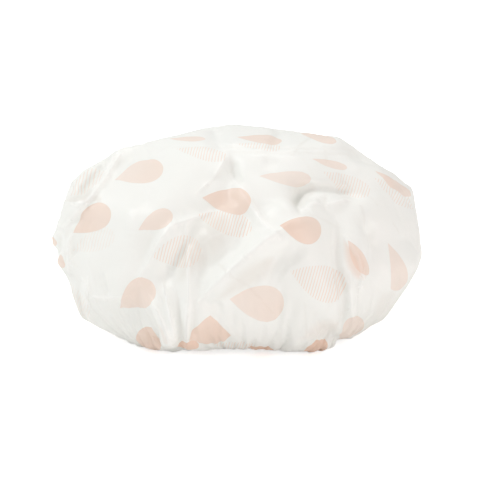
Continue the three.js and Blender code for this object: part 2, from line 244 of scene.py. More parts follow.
# each photographed crease: its height in millimetres, its widths left and right of its run in pixels, and its run
CREASES = [
    # the double ridge at the left, the grey flat beside it and its level pleat
    (4.0, 3, 10, [(124, 147), (113, 166), (104, 180), (92, 196), (80, 210), (67, 223), (56, 235)]),
    (-4.0, 8, 5, [(110, 158), (98, 172), (87, 186), (76, 199)]),
    (1.5, 2.5, 2.5, [(117, 152), (106, 168), (97, 182)]),
    (2.2, 2, 7, [(90, 203), (76, 204), (63, 203)]),
    # the small ears on the left edge
    (-2.0, 3, 3, [(61, 236), (60, 248)]),
    (-2.0, 3, 3, [(64, 250), (66, 266)]),
    (1.8, 3, 3, [(69, 240), (68, 270)]),
    (-1.6, 4, 4, [(74, 238), (74, 262)]),
    # the bright left lobe, its right edge, and the hollow beyond
    (3.0, 14, 14, [(130, 200), (132, 250)]),
    (4.5, 4, 22, [(140, 276), (150, 260), (160, 240), (172, 226), (207, 213)]),
    (-7.5, 12, 14, [(202, 226), (183, 245), (168, 268), (160, 290)]),
    (2.0, 5, 5, [(186, 228), (188, 260), (189, 300), (187, 342)]),
    (-2.0, 7, 7, [(206, 240), (204, 272)]),
    # the two arms of the ridge in the middle, and the pocket between them
    (3.5, 14, 3, [(277, 232), (262, 221), (247, 196), (233, 178)]),
    (6.0, 3.5, 12, [(203, 297), (225, 275), (245, 257), (262, 243), (284, 227)]),
    (-4.5, 14, 14, [(240, 206), (246, 222), (228, 246)]),
    (-4.0, 16, 16, [(262, 262), (290, 250), (300, 262)]),
    (2.0, 12, 12, [(285, 200), (284, 214)]),
    # the narrow dent under the top
    (-3.3, 4.5, 4.5, [(231, 158), (234, 172), (238, 187)]),
    (1.8, 5, 5, [(223, 162), (212, 180), (200, 190)]),
    (-2.0, 5, 5, [(216, 178), (206, 188)]),
    # the crescent dimple at the right, and its two small flats
    (-5.5, 4, 5, [(300, 213), (296, 201), (300, 190), (312, 186), (330, 186), (352, 192)]),
    (3.0, 5, 5, [(306, 207), (319, 203)]),
    (2.2, 5, 5, [(331, 203), (347, 200)]),
    (-1.5, 4, 4, [(325, 206), (326, 196)]),
    # the upright lap at the right, and the pleats below it
    (-4.0, 5, 4, [(338, 228), (336, 250), (337, 268), (342, 285), (345, 305), (341, 330)]),
    (2.2, 1.8, 8, [(352, 322), (357, 300), (363, 274), (358, 257), (348, 239)]),
    (2.2, 4, 4, [(350, 278), (352, 322)]),
    (-2.0, 3, 3, [(358, 284), (358, 316)]),
    (2.0, 6, 6, [(392, 258), (388, 285), (378, 312)]),
    (-1.8, 7, 7, [(372, 250), (370, 290)]),
    # the gathers that run together at the lower left
    (4.0, 3.5, 2.5, [(151, 300), (160, 318), (173, 347)]),
    (-3.5, 4.5, 4.5, [(146, 312), (163, 344)]),
    (2.2, 2.5, 2.5, [(164, 288), (171, 318), (177, 347)]),
    (-2.5, 3.5, 3.5, [(178, 298), (181, 344)]),
    (2.0, 2.5, 2.5, [(187, 312), (186, 344)]),
    (-2.0, 4, 4, [(194, 308), (192, 340)]),
    (2.5, 4, 14, [(124, 297), (108, 299), (92, 297), (84, 282)]),
    (1.8, 3, 3, [(88, 283), (88, 320)]),
    (-2.5, 6, 6, [(203, 302), (226, 308)]),
    # the lower edge's bulges
    (2.5, 12, 12, [(170, 346), (160, 340)]),
    (2.5, 14, 14, [(296, 348), (292, 335)]),
    # the level marks of packing under the top
    (-0.9, 1.8, 1.8, [(178, 147), (250, 147), (345, 149)]),
    (-0.9, 1.8, 1.8, [(228, 152), (345, 154)]),
    (-1.6, 6, 6, [(262, 160), (282, 165)]),
    (-2.5, 5, 5, [(346, 148), (372, 165)]),
]


def polar_reach(pixels):
    across, down = pixels[..., 0] - OUTLINE_MIDDLE[0], pixels[..., 1] - OUTLINE_MIDDLE[1]
    return np.arctan2(down, across), np.hypot(across, down)


def rim_reach(turn, reach):
    """The furthest reach in each of the picture's directions."""
    rim = np.zeros(RIM_BINS)
    which = ((turn + pi) / (2 * pi) * RIM_BINS).astype(int) % RIM_BINS
    np.maximum.at(rim, which, reach)
    return rim


def fit_outline(points, fade_start, fade_end):
    """Moves the rim in the picture plane, so that its outline has the photographed corners, except low down."""
    pixels = to_pixels(points + CENTRE)
    turn, reach = polar_reach(pixels)
    corners = np.array(OUTLINE, float)
    ahead = np.roll(corners, -1, 0) - corners
    sides = np.concatenate([corners + ahead * share for share in np.linspace(0, 1 - 1 / SIDE_STEPS, SIDE_STEPS)])
    own, wanted = rim_reach(turn, reach), rim_reach(*polar_reach(sides))
    middles = (np.arange(RIM_BINS) + 0.5) / RIM_BINS * 2 * pi - pi
    own_reach = np.interp(turn, middles, own, period=2 * pi)
    factor = np.interp(turn, middles, wanted, period=2 * pi) / own_reach
    weight = smooth_step(reach / own_reach, RIM_START, 1) * (1 - smooth_step(pixels[..., 1], fade_start, fade_end))
    shift = (reach * (factor - 1) * weight)[:, None] * np.stack([np.cos(turn), -np.sin(turn)], -1)
    shift = shift * ((points + CENTRE - EYE) @ AHEAD / PIXELS_ACROSS)[:, None]
    moved = points + shift[:, :1] * np.array([1.0, 0, 0]) + shift[:, 1:] * PICTURE_UP
    moved[:, 2] = np.maximum(moved[:, 2], np.minimum(points[:, 2], CLEARANCE))
    return moved


def crease_offset(points, normals, narrow=1.0):
    """How far the photographed creases lift each point that faces the camera."""
    pixels = to_pixels(points + CENTRE)
    view = EYE - points - CENTRE
    view /= norms(view)[:, None]
    facing = smooth_step((normals * view).sum(-1), -0.05, 0.2)
    total = np.zeros(len(points))
    for height, left, right, run in CREASES:
        nodes = np.array(run, float)
        legs = np.diff(nodes, axis=0)
        sizes = np.hypot(legs[:, 0], legs[:, 1])
        starts = np.concatenate([[0], np.cumsum(sizes)])
        best = np.full(len(points), 1e9)
        side, place = np.zeros(len(points)), np.zeros(len(points))
        for start, leg, size, begun in zip(nodes, legs, sizes, starts):
            away = pixels - start
            share = np.clip((away @ leg) / size**2, 0, 1)
            gap = away - share[:, None] * leg
            far = np.hypot(gap[:, 0], gap[:, 1])
            nearer = far < best
            best = np.where(nearer, far, best)
            side = np.where(nearer, leg[0] * away[:, 1] - leg[1] * away[:, 0], side)
            place = np.where(nearer, begun + share * size, place)
        # the picture's y runs down, so a positive turn lies to the right of the run
        width = np.where(side > 0, right, left) * narrow
        whole = starts[-1]
        ends = [smooth_step(along, -0.15 * whole, 0.3 * whole) for along in (place, whole - place)]
        total += height * MM * (ends[0] * ends[1]) * (1 / np.cosh(best / width * 1.3))
    return total * facing


# the film's own net
RINGS = 80


def flat_disc(rings):
    """A disc of triangles, ring by ring, with its radius as one."""
    places, triangles, first = [(0.0, 0.0)], [], [0]
    for ring in range(1, rings + 1):
        first.append(len(places))
        for step in range(6 * ring):
            turn = 2 * pi * step / (6 * ring)
            places.append((ring / rings * cos(turn), ring / rings * sin(turn)))
    for ring in range(1, rings + 1):
        inner, outer = 6 * (ring - 1), 6 * ring
        for side in range(6):
            for step in range(ring):
                near = first[ring] + (side * ring + step) % outer
                far = first[ring] + (side * ring + step + 1) % outer
                back = first[ring - 1] + ((side * (ring - 1) + step) % inner if inner else 0)
                triangles.append((back, near, far))
                if step < ring - 1:
                    triangles.append((back, far, first[ring - 1] + (side * (ring - 1) + step + 1) % inner))
    return np.array(places), np.array(triangles), first


def net_edges(triangles):
    """The net's edges, and for each edge between two triangles the two corners across it."""
    pairs = np.sort(np.concatenate([triangles[:, [0, 1]], triangles[:, [1, 2]], triangles[:, [2, 0]]]), axis=1)
    across = np.concatenate([triangles[:, 2], triangles[:, 0], triangles[:, 1]])
    key = pairs[:, 0].astype(np.int64) * (int(triangles.max()) + 1) + pairs[:, 1]
    order = np.argsort(key, kind="stable")
    key, across, pairs = key[order], across[order], pairs[order]
    _, start, count = np.unique(key, return_index=True, return_counts=True)
    double = start[count == 2]
    return pairs[start], np.stack([across[double], across[double + 1]], 1)


def both_ways(pairs):
    return pairs.T.ravel(), pairs[:, ::-1].T.ravel()


def gathered(index, values, size):
    return np.stack([np.bincount(index, weights=values[:, axis], minlength=size) for axis in range(3)], 1)


class Links:
    """Threads between pairs of points, each of which wants its rest length."""

    def __init__(self, pairs, rest, size):
        self.start, self.end, self.rest, self.size = pairs[:, 0], pairs[:, 1], rest, size
        self.both = np.concatenate([self.start, self.end])
        self.count = np.maximum(np.bincount(self.both, minlength=size), 1).astype(float)[:, None]

    def moves(self, points):
        run = points[self.end] - points[self.start]
        length = norms(run) + 1e-12
        step = run * (0.5 * (length - self.rest) / length)[:, None]
        return gathered(self.both, np.concatenate([step, -step]), self.size) / self.count


def point_normals(points, triangles):
    corners = [points[triangles[:, k]] for k in range(3)]
    face = np.cross(corners[1] - corners[0], corners[2] - corners[0])
    total = sum(gathered(triangles[:, k], face, len(points)) for k in range(3))
    return total / (norms(total) + 1e-15)[:, None]


class Form:
    """The puffed form as a table of its meridians, so that a place on the flat film finds its place in space."""

    TURNS, LEVELS = 240, 400

    def __init__(self):
        self.azimuths = np.linspace(-pi, pi, self.TURNS + 1)
        self.shares = np.linspace(0, 2, self.LEVELS + 1)
        azimuth = np.repeat(self.azimuths[:, None], len(self.shares), 1)
        points = form_point(azimuth, np.repeat(self.shares[None], len(self.azimuths), 0))
        runs = norms(np.diff(points, axis=1))
        self.arc = np.concatenate([np.zeros((len(self.azimuths), 1)), np.cumsum(runs, 1)], 1)
        self.length = self.arc[:, -1]

    def turn_of(self, azimuth):
        place = (azimuth + pi) / (2 * pi) * self.TURNS
        low = np.clip(place.astype(int), 0, self.TURNS - 1)
        return low, place - low

    def share_at(self, azimuth, radius):
        low, part = self.turn_of(azimuth)
        found = []
        for turn in (low, low + 1):
            found.append([np.interp(r * self.length[t], self.arc[t], self.shares) for r, t in zip(radius, turn)])
        return np.array(found[0]) * (1 - part) + np.array(found[1]) * part

    def length_at(self, azimuth):
        low, part = self.turn_of(azimuth)
        return self.length[low] * (1 - part) + self.length[low + 1] * part


def spare_film(azimuth, radius, share):
    """How much more film lies round the cap than the form needs, at a place on the disc."""
    back = smooth_step(np.sin(azimuth), -0.1, 0.6)
    upper = smooth_step(radius, 0.25, 0.62) * (0.002 + 0.07 * back)
    lower = smooth_step(radius, 0.6, 0.85) * (0.02 + 0.11 * back)
    lower += smooth_step(share, 0.8, 1.0) * (0.12 + 0.25 * back)
    return 1 + upper + lower + 2.4 * smooth_step(share, 0.96, 1.8)


def pleats(azimuth):
    """The hem's small pleats, from 0 in a valley to 1 on a crest, uneven in depth."""
    depth = 0.82 + 0.12 * np.sin(7 * azimuth + 1.0) + 0.06 * np.sin(19 * azimuth)
    depth = depth * (1 - FRONT_PLEAT_LOSS_SHARE * smooth_step(-np.sin(azimuth), 0.6, 0.95))
    return depth * (0.5 + 0.5 * np.cos(RINGS * azimuth + 0.8 * np.sin(5 * azimuth) + 0.5 * np.sin(11 * azimuth + 2)))


def wander(azimuth, rng):
    """A smooth chance wave round the cap."""
    return sum(rng.uniform(-1, 1) * np.sin(k * azimuth + rng.uniform(0, 2 * pi)) / sqrt(k) for k in range(1, 7))


def round_scales(form):
    """How much wider than a flat disc the form is round the cap, for each of some radii and turns."""
    radii = np.linspace(0.01, 1, SCALE_RINGS)
    table = []
    for r in radii:
        around = np.array([np.interp(r * form.length[t], form.arc[t], form.shares) for t in range(form.TURNS + 1)])
        table.append(form_point(form.azimuths, around))
    scale = norms(np.diff(np.array(table), axis=1)) / (radii[:, None] * 2 * pi / form.TURNS)
    for _ in range(SCALE_BLURS):
        scale = (np.roll(scale, 1, 1) + 2 * scale + np.roll(scale, -1, 1)) / 4
    return radii, scale


# how the film settles: its steps, the share of its speed that it keeps, and the push of the air inside
STEPS, QUICK_STEPS, KEPT_SPEED, AIR_PUSH = 200, 24, 0.92, 0.02
# the pull back to the form, blurred so that finer folds stay free of it, and how often it acts
FORM_PULL, FORM_BLURS, FORM_EVERY = 0.25, 30, 4
# the pulls of the net's sides and of the threads across them, in rounds for each step
ROUNDS, STRETCH_PULL, BEND_PULL, BEND_EVERY = 8, 1.6, 0.12, 4
# small waves to start from: their number round the cap, height, and the radii between which they set in
START_WAVES = [(14, 1.0 * MM, 0.3, 0.7), (26, 1.5 * MM, 0.65, 0.85), (39, 2 * MM, 0.82, 0.95)]
START_ROUGHNESS = 0.3 * MM
SCALE_RINGS, SCALE_BLURS = 60, 6
# the outline is fitted and the creases are pressed in twice, on the form and, lower and narrower, on the settled
# film: the picture's rows over which the fit fades out, and the shares of the film's radius where the pressing does
FIRST_ROWS, LAST_ROWS = (325, 345), (342, 354)
FIRST_EDGE, LAST_EDGE = (0.93, 0.98), (0.78, 0.86)
AGAIN_HEIGHT, AGAIN_WIDTH = 0.45, 0.6


def crumple_film():
    """Lays the flat film over the form and lets its spare width find its own folds."""
    rng = np.random.default_rng(3)
    flat, triangles, first = flat_disc(RINGS)
    size = len(flat)
    radius, azimuth = np.hypot(flat[:, 0], flat[:, 1]), np.arctan2(flat[:, 1], flat[:, 0])
    form = Form()
    share = form.share_at(azimuth, radius)
    goal = form_point(azimuth, share)
    length = form.length_at(azimuth)
    closed = 1 - smooth_step(radius, *FIRST_EDGE)
    goal += (fit_outline(goal, *FIRST_ROWS) - goal) * closed[:, None]
    normals = point_normals(goal, triangles)
    goal += normals * (crease_offset(goal, normals) * closed)[:, None]
    goal[:, 2] = np.maximum(goal[:, 2], CLEARANCE)
    radii, scales = round_scales(form)

    def rest_lengths(pairs):
        start, end = pairs[:, 0], pairs[:, 1]
        run, middle = flat[end] - flat[start], (flat[end] + flat[start]) / 2
        away = np.hypot(middle[:, 0], middle[:, 1]) + 1e-9
        outward = middle / away[:, None]
        down = (run * outward).sum(1) * (length[start] + length[end]) / 2
        around = run[:, 1] * outward[:, 0] - run[:, 0] * outward[:, 1]
        turn = np.arctan2(middle[:, 1], middle[:, 0])
        ring = np.interp(away, radii, np.arange(len(radii)))
        low = np.clip(ring.astype(int), 0, len(radii) - 2)
        part, (column, _) = ring - low, form.turn_of(turn)
        around = around * (scales[low, column] * (1 - part) + scales[low + 1, column] * part)
        spare = spare_film(turn, away, (share[start] + share[end]) / 2)
        return np.hypot(down, around * spare) / np.hypot(down, around) * norms(goal[end] - goal[start])

    pairs, across = net_edges(triangles)
    stretch, bend = Links(pairs, rest_lengths(pairs), size), Links(across, rest_lengths(across), size)
    seam = np.arange(first[RINGS], size)
    seam_points = mouth_point(azimuth[seam], HEM_OUT + PLEAT_DEPTH * pleats(azimuth[seam]), HEM_HEIGHT + CLEARANCE)
    free = np.ones(size, bool)
    free[seam] = False

    points = goal.copy()
    wave = 0
    for number, height, start, end in START_WAVES:
        wave += height * np.cos(number * azimuth + 2.2 * wander(azimuth, rng)) * smooth_step(radius, start, end)
    points += normals * (wave * (1 - smooth_step(radius, 0.97, 1)))[:, None]
    pleated = (pleats(azimuth) - 0.5) * PLEAT_DEPTH * smooth_step(share, 1.0, 2.0)
    points[:, :2] += mouth_way(azimuth)[:, :2] * pleated[:, None]
    points += rng.normal(0, START_ROUGHNESS, points.shape)
    points[seam] = seam_points

    here, there = both_ways(pairs)
    neighbours = np.bincount(here, minlength=size).astype(float)[:, None]

    def blurred(values, times):
        for _ in range(times):
            values = 0.5 * values + 0.5 * gathered(here, values[there], size) / neighbours
        return values

    speed = np.zeros_like(points)
    for step in range(STEPS):
        moved = points + KEPT_SPEED * speed + point_normals(points, triangles) * AIR_PUSH * MM
        if step % FORM_EVERY == 0:
            moved += FORM_PULL * blurred(goal - moved, FORM_BLURS)
        for turn in range(ROUNDS):
            moved[free] += STRETCH_PULL * stretch.moves(moved)[free]
            if turn % BEND_EVERY == 0:
                moved[free] += BEND_PULL * bend.moves(moved)[free]
        moved[seam] = seam_points
        moved[:, 2] = np.maximum(moved[:, 2], CLEARANCE)
        speed = np.clip(moved - points, -MM, MM)
        points = moved
    return points, flat * form.length.mean(), triangles, seam


# the hem's section, from the seam down its outer side, under it and up its inner side:
# the side (1 outer, -1 inner), the share of that side's offset, and the level
SEAM_SHARE = 0.80
HEM_SECTION = [
    (1, SEAM_SHARE, STITCH_LEVEL), (1, 0.88, 6.6 * MM), (1, 0.95, 3.6 * MM), (1, 0.86, 1.2 * MM),
    (1, 0.60, 0.3 * MM), (1, 0.0, 0), (-1, 0.60, 0.3 * MM), (-1, 0.86, 1.2 * MM), (-1, 0.95, 3.6 * MM),
    (-1, SEAM_SHARE, STITCH_LEVEL), (-1, 0.88, 9.2 * MM), (-1, 0.96, STITCH_LEVEL + SEAM_MARGIN),
]
HEM_SLACK = 1.15
# steps for each stitch, sides of the thread's section, and how far the thread stands off the film and dips into it
STITCH_STEPS, THREAD_SIDES, THREAD_LIFT, THREAD_DIP = 6, 6, 0.25 * MM, 0.22 * MM
SEAM_TURNS = 2400


def hem_offset(azimuth, side, share):
    depth = PLEAT_DEPTH if side > 0 else INNER_PLEAT_DEPTH
    return side * share * (HEM_OUT * HEM_SLACK + depth * pleats(azimuth))


def add_hem(points, flat, triangles, seam):
    """Carries the film on from the seam, round the elastic and up to its cut edge."""
    azimuth = np.arctan2(flat[seam, 1], flat[seam, 0])
    outward = flat[seam] / np.hypot(*flat[seam].T)[:, None]
    last, size = seam, len(seam)
    reach = np.hypot(*flat[seam].T)
    before = points[seam]
    for side, share, level in HEM_SECTION:
        ring = mouth_point(azimuth, hem_offset(azimuth, side, share), level)
        reach = reach + np.median(norms(ring - before))
        new = len(points) + np.arange(size)
        points = np.concatenate([points, ring])
        flat = np.concatenate([flat, outward * reach[:, None]])
        a, b, c, d = last, np.roll(last, -1), np.roll(new, -1), new
        triangles = np.concatenate([triangles, np.stack([a, d, b], 1), np.stack([b, d, c], 1)])
        last, before = new, ring
    return points, flat, triangles, reach.max()


def make_stitches(name, node, side):
    """The stitches that show on one side of the hem: a thread that lies on the film and dips through it."""
    turns = np.linspace(-pi, pi, SEAM_TURNS, endpoint=False)
    path = mouth_point(turns, hem_offset(turns, side, SEAM_SHARE) + side * THREAD_LIFT, STITCH_LEVEL)
    along = np.concatenate([[0], np.cumsum(norms(np.roll(path, -1, 0) - path))])
    count = int(round(along[-1] / STITCH_LENGTH))
    steps = np.linspace(0, along[-1], count * STITCH_STEPS, endpoint=False)

    def resampled(values):
        closed = np.concatenate([values, values[:1]])
        return np.stack([np.interp(steps, along, closed[:, axis]) for axis in range(3)], 1)

    line, out = resampled(path), resampled(mouth_way(turns)) * side
    phase = (np.arange(len(steps)) % STITCH_STEPS) / STITCH_STEPS * 2 * pi
    line += out * (THREAD_DIP * (np.abs(np.sin(phase / 2)) ** 0.5 - 1))[:, None]
    ahead = np.roll(line, -1, 0) - np.roll(line, 1, 0)
    ahead /= norms(ahead)[:, None]
    over = np.cross(ahead, np.array([0, 0, 1.0]))
    over /= norms(over)[:, None]
    up = np.cross(over, ahead)
    angles = (np.arange(THREAD_SIDES) / THREAD_SIDES * 2 * pi)[:, None]
    ring = line[:, None] + THREAD_WIDTH / 2 * (over[:, None] * np.cos(angles) + up[:, None] * np.sin(angles))
    here = np.arange(len(line))[:, None] * THREAD_SIDES
    there = np.roll(here, -1, 0)
    now = np.arange(THREAD_SIDES)[None]
    after = (now + 1) % THREAD_SIDES
    a, b, c, d = here + now, here + after, there + after, there + now
    triangles = np.concatenate([np.stack([a, b, c], -1).reshape(-1, 3), np.stack([a, c, d], -1).reshape(-1, 3)])
    thread = make_mesh(name, ring.reshape(-1, 3) + CENTRE, triangles)
    thread.data.materials.append(thread_material(name))
    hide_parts(node)
    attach(thread, "root")


def subdivided(points, flat, triangles):
    """One round of smooth subdivision: the points move as in a spline surface, the flat places stay in line."""
    size = len(points)
    pairs, across = net_edges(triangles)
    key = pairs[:, 0].astype(np.int64) * size + pairs[:, 1]
    sides = [np.sort(triangles[:, [a, b]], axis=1) for a, b in ((0, 1), (1, 2), (2, 0))]
    found = [np.searchsorted(key, side[:, 0].astype(np.int64) * size + side[:, 1]) for side in sides]
    count = sum(np.bincount(edge, minlength=len(pairs)) for edge in found)
    inner = count == 2
    here, there = both_ways(pairs)
    degree = np.bincount(here, minlength=size).astype(float)
    weight = ((0.625 - (0.375 + 0.25 * np.cos(2 * pi / degree)) ** 2) / degree)[:, None]
    outer = pairs[~inner]
    rim = np.unique(outer)
    both, other = both_ways(outer)

    def settled(values):
        moved = values * (1 - degree[:, None] * weight) + gathered(here, values[there], size) * weight
        moved[rim] = 0.75 * values[rim] + gathered(both, values[other], size)[rim] / 8
        return moved

    # the net is opened out first, so that the smooth surface passes through its points
    wanted = points
    for _ in range(2):
        points = points + (wanted - settled(points))
    total = np.zeros((len(pairs), 3))
    for edge, corner in zip(found, (2, 0, 1)):
        np.add.at(total, edge, points[triangles[:, corner]])
    middle = (points[pairs[:, 0]] + points[pairs[:, 1]]) / 2
    between = middle.copy()
    between[inner] = 0.75 * middle[inner] + total[inner] / 8
    moved = settled(points)
    a, b, c = triangles.T
    ab, bc, ca = [edge + size for edge in found]
    faces = np.concatenate([np.stack(t, 1) for t in ((a, ab, ca), (b, bc, ab), (c, ca, bc), (ab, bc, ca))])
    flat = np.concatenate([flat, (flat[pairs[:, 0]] + flat[pairs[:, 1]]) / 2])
    return np.concatenate([moved, between]), flat, faces


# the print
# drops in the picture: tip, far end of the round, and width, all in pixels, the strength of the ink, and where a
# fold hides a part, the line of its edge, walked with the part that shows on its right
SOLID_DROPS = [
    ((114, 179), (163, 167), 24, 0.75), ((73, 233), (109, 208), 27, 1.0), ((138, 230), (172, 213), 19, 0.8),
    ((202, 198), (251, 203), 27, 1.0), ((259, 176), (311, 180), 14.5, 0.65), ((312, 159), (347, 168), 8, 0.8),
    ((375, 171), (411, 196), 7, 0.9), ((280, 225), (321, 233), 28, 1.15), ((229, 299), (284, 306), 37, 0.75),
    ((119, 313), (152, 283), 31, 0.8, ((160, 308), (110, 308))),
    ((141, 366), (153, 327), 27, 1.2, ((152, 327), (165, 349))),
    ((187, 341), (232, 322), 30, 1.3, ((210, 315), (226, 330))),
    ((174, 347), (199, 345), 8, 1.7), ((301, 355), (327, 342), 12, 1.5), ((247, 347), (276, 352), 7, 1.7),
    ((339, 347), (361, 318), 21, 0.65), ((382, 237), (401, 291), 25, 0.65, ((391, 290), (388, 240))),
    ((348, 240), (368, 275), 12, 0.9),
    ((169, 139), (205, 139), 5, 0.7), ((237, 137), (282, 141), 9, 0.9), ((300, 133), (336, 142), 8, 0.8),
    ((52, 236), (55, 246), 6, 0.9), ((60, 254), (62, 268), 4, 0.9),
]
# patches of painted shade, or, where the strength has 1 added, print that shows blurred through the film
SHADE_AND_GHOST_DROPS = [
    ((170, 292), (226, 214), 60, 0.8), ((56, 204), (102, 199), 36, 0.85, ((92, 203), (60, 203))),
    ((205, 307), (276, 258), 34, 0.75), ((294, 214), (316, 184), 16, 0.3), ((70, 283), (86, 320), 15, 0.5),
    ((341, 235), (364, 281), 25, 1.75), ((368, 326), (394, 290), 24, 0.4), ((292, 342), (340, 322), 26, 1.2),
    ((158, 320), (168, 344), 8, 1.25), ((324, 318), (344, 266), 30, 0.35),
]
HATCHED_DROPS = [
    ((66, 197), (103, 171), 17, 0.7), ((176, 149), (227, 157), 13, 0.8), ((236, 144), (282, 148), 8, 0.8),
    ((322, 172), (370, 194), 19, 0.8), ((373, 177), (414, 208), 11, 0.7), ((196, 214), (251, 229), 25, 1.0),
    ((152, 257), (201, 248), 33, 0.9), ((290, 271), (345, 291), 37, 1.0), ((71, 251), (114, 233), 23, 0.35),
    ((69, 282), (88, 318), 14, 0.3), ((212, 344), (260, 349), 10, 0.8),
]
HATCH_PITCH, HATCH_LEAN = 2.8, radians(16)
PIXEL, SEEN_SLACK = 0.775 * MM, 2 * MM
DROP_LENGTH, DROP_WIDTH, DROP_MIDDLE = 50, 34, 0.6
REPEAT_COLUMN, REPEAT_ROW = 66 * MM, 54 * MM
FOLLOW_SPREAD, FOLLOW_FADE = 4.5 * MM, 0.05
# how far a drop's map reaches, and the most that its places may miss it by in each round, in pixels
MAP_REACH, MISS_LIMITS = 45 * MM, (12, 9, None)
# how many of the film's points give a hidden drop its map, and the least square pixels for a square metre in it
PATCH_POINTS, LEAST_SPREAD = 160, 1e3

# sharp creases: the picture's creases no wider than a limit in pixels have a sharp line in them, and fainter
# chance ones lie all over the film
SHARP_LIMIT, SHARP_REACH, SHARP_STEP, SHARP_WIDTH = 5, 20 * MM, 8, 3.2 * MM
SHARP_HEIGHT, GROOVE_HEIGHT = 0.45 * MM, 0.1 * MM
CHANCE_CREASES, CHANCE_REACH, CHANCE_HEIGHT = 260, 34 * MM, 0.16 * MM


class Sheet:
    """The finished film: its points in space, the same points on the flat film, and its triangles."""

    def __init__(self, points, flat, triangles, length):
        self.points, self.flat, self.triangles, self.length = points, flat, triangles, length
        self.tree = BVHTree.FromPolygons(points.tolist(), triangles.tolist())

    def place_at(self, x, y):
        """The flat film's place that shows at a pixel, or None."""
        place, _, index, _ = self.tree.ray_cast(CAMERA_PLACE, pixel_ray(x, y))
        if index is None:
            return None
        a, b, c = self.points[self.triangles[index]]
        shares = np.linalg.lstsq(np.stack([b - a, c - a], 1), np.array(place) - a, rcond=None)[0]
        a, b, c = self.flat[self.triangles[index]]
        return a + (b - a) * shares[0] + (c - a) * shares[1]

    def is_seen(self, point):
        ray = Vector(point) - CAMERA_PLACE
        hit, _, _, away = self.tree.ray_cast(CAMERA_PLACE, ray.normalized())
        return hit is not None and away > ray.length - SEEN_SLACK


def store(film, name, values):
    """Stores two numbers for each corner of each triangle."""
    film.data.uv_layers.new(name=name).data.foreach_set("uv", values.astype(np.float32).ravel())


def drop_ways(tip, end, width):
    """A drop's tip, its way from there to its far end, and its way from its middle line to its side."""
    tip = np.array(tip, float)
    axis = np.array(end, float) - tip
    return tip, axis, np.array([-axis[1], axis[0]]) / np.hypot(*axis) * width / 2


class Drop:
    """A drop of the print: the map from the flat film to the picture's pixels near it, and its own frame there."""

    def __init__(self, matrix, shift, shape, strength=1.0, cut=None, places=None, misses=None):
        self.matrix, self.shift, self.strength = matrix, shift, strength
        self.tip, self.axis, self.side = drop_ways(*shape)
        self.middle = np.linalg.solve(matrix, self.tip + DROP_MIDDLE * self.axis - shift)
        self.cut, self.places, self.misses = cut, places, misses

    def pixels(self, flat, fine=True):
        """The picture's pixels of places on the flat film, with the folds that the plain map misses."""
        spots = flat @ self.matrix.T + self.shift
        if fine and self.places is not None:
            away = ((flat[:, None] - self.places[None]) ** 2).sum(-1)
            weight = np.exp(-away / (2 * FOLLOW_SPREAD**2))
            spots += (weight @ self.misses) / (weight.sum(1) + FOLLOW_FADE)[:, None]
        return spots

    def frame(self, flat, fine=True):
        """Places on the flat film in shares of the drop's length and half width, and the hatch line that each is on."""
        spots = self.pixels(flat, fine)
        local = np.linalg.solve(np.stack([self.axis, self.side], 1), (spots - self.tip).T).T
        return local, (spots @ np.array([cos(HATCH_LEAN), sin(HATCH_LEAN)])) / HATCH_PITCH

    def room(self, flat):
        """How far from its cut line each place on the flat film lies, in pixels."""
        if self.cut is None:
            return np.ones(len(flat))
        start, end = np.array(self.cut, float)
        way = (end - start) / np.hypot(*(end - start))
        away = self.pixels(flat) - start
        return way[0] * away[:, 1] - way[1] * away[:, 0]


def drop_in_picture(sheet, tip, end, width, strength, cut=None):
    """A drop that the picture shows, by the film's places that show in and round it."""
    tip, axis, side = drop_ways(tip, end, width)
    spots = [tip + axis * a + side * o for a in np.linspace(-0.1, 1.1, 15) for o in np.linspace(-1.2, 1.2, 9)]
    found = [(spot, place) for spot in spots if (place := sheet.place_at(*spot)) is not None]
    if len(found) < 6:
        return None
    spots, places = (np.array(values) for values in zip(*found))
    far = min(MAP_REACH, 1.2 * (np.hypot(*axis) + 8) * PIXEL)
    near = np.hypot(*(places - np.median(places, 0)).T) < far
    spots, places = spots[near], places[near]
    # places that lie off the common map, such as those behind a fold, are left out in two rounds
    for limit in MISS_LIMITS:
        table = np.concatenate([places, np.ones((len(places), 1))], 1)
        solved = np.linalg.solve(table.T @ table + np.eye(3) * 1e-9, table.T @ spots)
        misses = spots - table @ solved
        if limit:
            close = np.hypot(*misses.T) < limit
            spots, places = spots[close], places[close]
    return Drop(solved[:2].T, solved[2], (tip, end, width), strength, cut, places, misses)


def hidden_drop(sheet, normals, near, turn):
    """A drop where the picture doesn't show the film, as large as the others there, near a place on the flat film."""
    close = np.argsort(((sheet.flat - near) ** 2).sum(1))[:PATCH_POINTS]
    normal = normals[close].mean(0)
    normal /= norms(normal)
    table = np.concatenate([sheet.flat[close] - near, np.ones((len(close), 1))], 1)
    slopes = np.linalg.lstsq(table, sheet.points[close], rcond=None)[0][:2]
    # the film's own x and y ways there, laid square to each other in the film's plane
    first = slopes[0] / norms(slopes[0])
    matrix = np.stack([slopes @ first, slopes @ np.cross(first, normal)]) / PIXEL
    if abs(np.linalg.det(matrix)) < LEAST_SPREAD:
        return None
    way = np.array([cos(turn), sin(turn)]) * DROP_LENGTH
    return Drop(matrix, -matrix @ near, (-DROP_MIDDLE * way, (1 - DROP_MIDDLE) * way, DROP_WIDTH))


